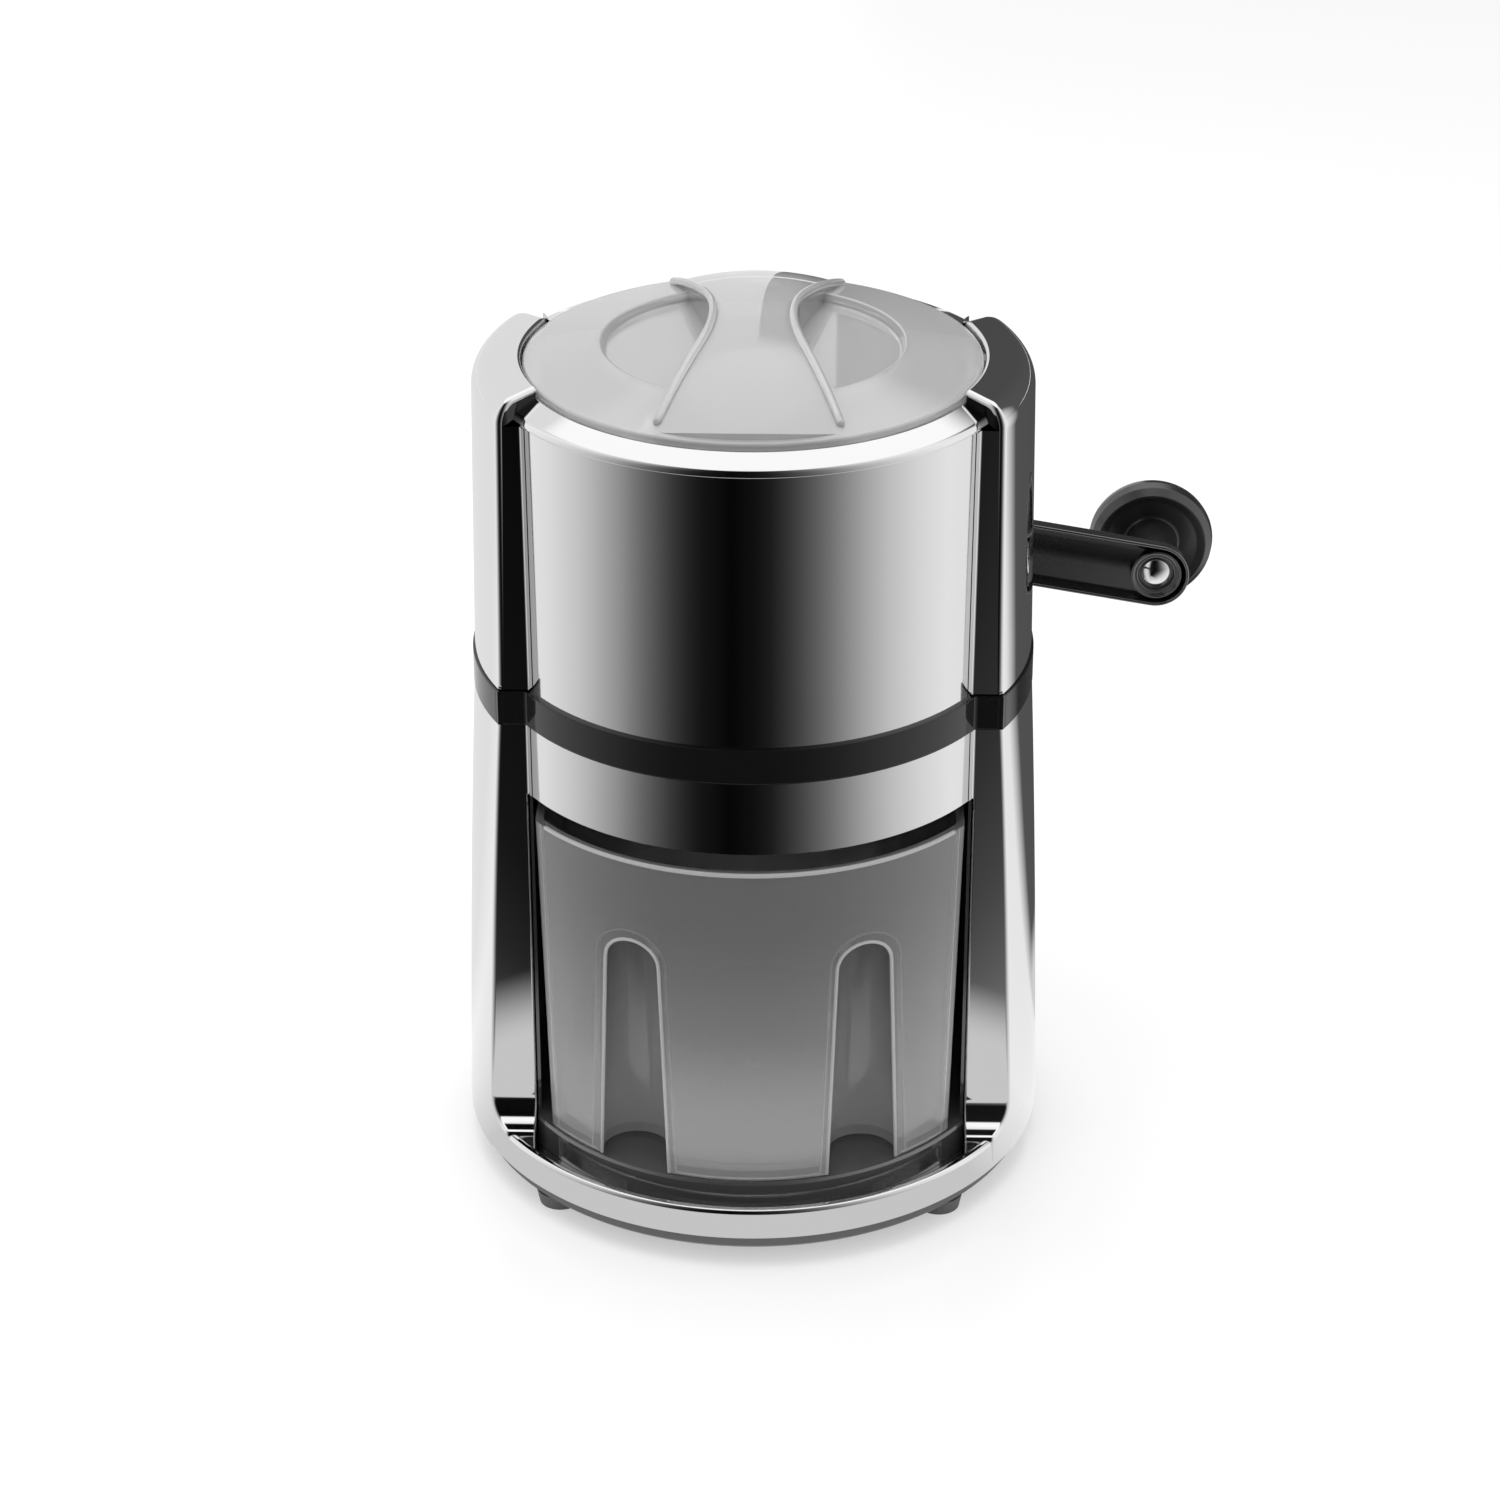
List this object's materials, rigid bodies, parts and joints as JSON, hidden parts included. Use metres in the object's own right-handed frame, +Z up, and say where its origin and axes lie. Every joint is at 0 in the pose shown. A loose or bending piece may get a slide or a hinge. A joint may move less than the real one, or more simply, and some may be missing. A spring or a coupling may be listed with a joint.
{
  "type": "hand crank ice crusher",
  "caption": "Upright round ice crusher with a plated housing, a lift-off clear lid, a toothed rotor turned by a rear crank, and a clear pull-out ice drawer.",
  "frame": {"origin": "on the housing's axis, in the plane that the feet stand on", "axes": "+Z up, the drawer opens to -Y, the crank is at +Y and its arm points to +X"},
  "size_m": [0.2014, 0.1792, 0.2309],
  "materials": {
    "chrome_shell": "mirror bright plating",
    "steel_sheet": "polished stainless sheet",
    "black_band": "glossy",
    "grey_base": "fine satin",
    "foot_rubber": "matt",
    "smoky_clear": "clear smoky, polished",
    "hopper_grey": "satin",
    "chamber_grey": "moulded",
    "bush_plastic": "smooth",
    "tool_steel": "ground",
    "screw_steel": "plated",
    "arm_black": "glossy",
    "knob_black": "satin gloss",
    "bright_rivet": "polished"
  },
  "bodies": {
    "housing": {"base_plate": "grey_base", "base_screws": "screw_steel", "belt_band": "black_band", "chamber_screws": "screw_steel", "comb_left": "tool_steel", "comb_right": "tool_steel", "comb_screws": "screw_steel", "crusher_chamber": "chamber_grey", "drawer_bay": "grey_base", "foot_front_left": "foot_rubber", "foot_front_right": "foot_rubber", "foot_rear_left": "foot_rubber", "foot_rear_right": "foot_rubber", "front_bush": "bush_plastic", "hopper": "hopper_grey", "housing_bush": "bush_plastic", "housing_screws": "screw_steel", "lower_front_panel": "steel_sheet", "lower_housing": "chrome_shell", "lower_rear_panel": "steel_sheet", "rear_bush": "bush_plastic", "upper_front_panel": "steel_sheet", "upper_housing": "chrome_shell", "upper_rear_panel": "steel_sheet"},
    "crank": {"crank_arm": "arm_black", "crank_screw": "screw_steel", "knob_spindle": "bright_rivet", "rotor_shaft": "tool_steel", "shaft_circlip": "tool_steel", "rotor_blade_1": "tool_steel", "rotor_blade_2": "tool_steel", "rotor_blade_3": "tool_steel", "rotor_blade_4": "tool_steel", "rotor_blade_5": "tool_steel", "rotor_spacer_1": "tool_steel", "rotor_spacer_2": "tool_steel", "rotor_spacer_3": "tool_steel", "rotor_spacer_4": "tool_steel", "rotor_spacer_5": "tool_steel", "rotor_spacer_6": "tool_steel"},
    "knob": {"knob": "knob_black", "knob_cap": "knob_black"},
    "lid": {"lid": "smoky_clear"},
    "drawer": {"drawer": "smoky_clear"}
  },
  "joints": [
    {"name": "crank_turn", "type": "hinge", "parent": "housing", "child": "crank", "pos_m": [0, 0, 0.147], "axis": [0, 1, 0], "continuous": true},
    {"name": "knob_spin", "type": "hinge", "parent": "crank", "child": "knob", "pos_m": [0.1082, 0.09, 0.12831], "axis": [0, 1, 0], "continuous": true},
    {"name": "lid_lift", "type": "slide", "parent": "housing", "child": "lid", "axis": [0, 0, 1], "range_m": [0, 0.06]},
    {"name": "drawer_slide", "type": "slide", "parent": "housing", "child": "drawer", "axis": [0, -1, 0], "range_m": [0, 0.11]}
  ]
}
